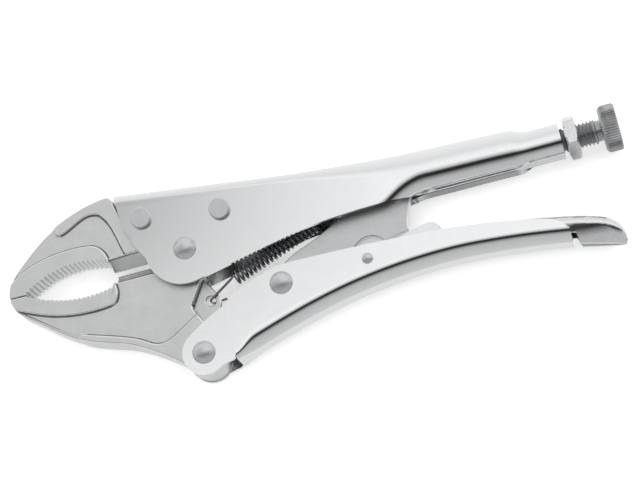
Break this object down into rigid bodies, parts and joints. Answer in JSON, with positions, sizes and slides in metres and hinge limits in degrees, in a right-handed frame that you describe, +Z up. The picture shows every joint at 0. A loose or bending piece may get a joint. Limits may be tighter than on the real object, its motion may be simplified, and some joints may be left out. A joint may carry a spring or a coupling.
{
  "type": "locking pliers",
  "caption": "Curved-jaw locking pliers with toggle linkage, release lever, wire cutter and knurled adjusting screw, clamped and lying on one side.",
  "frame": {"origin": "centre of the bounding box at its lowest level, with the tool lying on its side", "axes": "+X along the adjusting screw from the jaws to the knob, +Y from the lower handle to the back of the upper handle, +Z up across the tool's thickness; every hinge axis is parallel to Z"},
  "size_m": [0.2494, 0.0806, 0.0254],
  "materials": {
    "plated_handle": "bright nickel plate over pressed steel",
    "forged_jaw": "satin nickel plate over fine-blasted forging",
    "rivet_steel": "semi-bright plated, formed head",
    "forged_link": "satin plated forging",
    "plated_lever": "bright nickel plate over pressed steel",
    "screw_steel": "plated rolled thread",
    "knob_steel": "plated, straight knurl with smooth rims",
    "nut_steel": "bright plated turned hexagon",
    "spring_wire": "drawn spring wire, lightly oiled"
  },
  "bodies": {
    "upper_handle_group": {"upper_handle": "plated_handle", "upper_jaw": "forged_jaw", "upper_jaw_rivet_front": "rivet_steel", "upper_jaw_rivet_rear": "rivet_steel", "jaw_pivot_rivet": "rivet_steel", "jaw_spring": "spring_wire"},
    "lower_jaw": {"lower_jaw": "forged_jaw"},
    "lower_handle_group": {"lower_handle": "plated_handle", "handle_pivot_rivet": "rivet_steel", "link_rivet": "rivet_steel", "release_lever_rivet": "rivet_steel"},
    "toggle_link": {"toggle_link": "forged_link"},
    "release_lever": {"release_lever": "plated_lever"},
    "adjusting_screw": {"adjusting_screw": "screw_steel"},
    "knurled_knob": {"knurled_knob": "knob_steel"},
    "lock_nut": {"lock_nut": "nut_steel"}
  },
  "joints": [
    {"name": "jaw_pivot", "type": "hinge", "parent": "upper_handle_group", "child": "lower_jaw", "pos_m": [-0.05155, 0.01091, 0.0127], "axis": [0, 0, 1], "range_deg": [0, 18.47], "deforming": ["jaw_spring"]},
    {"name": "handle_fold", "type": "hinge", "parent": "lower_jaw", "child": "lower_handle_group", "pos_m": [-0.05335, -0.03159, 0.0127], "axis": [0, 0, -1], "range_deg": [0, 60]},
    {"name": "link_pivot", "type": "hinge", "parent": "lower_handle_group", "child": "toggle_link", "pos_m": [-0.01765, -0.01259, 0.0127], "axis": [0, 0, 1], "range_deg": [0, 75.53]},
    {"name": "release_lever_pivot", "type": "hinge", "parent": "lower_handle_group", "child": "release_lever", "pos_m": [0.01735, -0.01209, 0.0127], "axis": [0, 0, 1], "range_deg": [0, 4]},
    {"name": "screw_travel", "type": "slide", "parent": "upper_handle_group", "child": "adjusting_screw", "axis": [1, 0, 0], "range_m": [0, 0.02]},
    {"name": "knob_turn", "type": "hinge", "parent": "adjusting_screw", "child": "knurled_knob", "pos_m": [0.12115, 0.01591, 0.0127], "axis": [1, 0, 0], "range_deg": [0, 4800]},
    {"name": "nut_travel", "type": "slide", "parent": "adjusting_screw", "child": "lock_nut", "axis": [1, 0, 0], "range_m": [-0.0014, 0.0068]}
  ],
  "couplings": [
    {"joint": "jaw_pivot", "follows": "handle_fold", "ratio": 0.307},
    {"joint": "link_pivot", "follows": "handle_fold", "ratio": 1.258},
    {"joint": "knob_turn", "follows": "screw_travel", "rad_per_m": 4188.8}
  ]
}
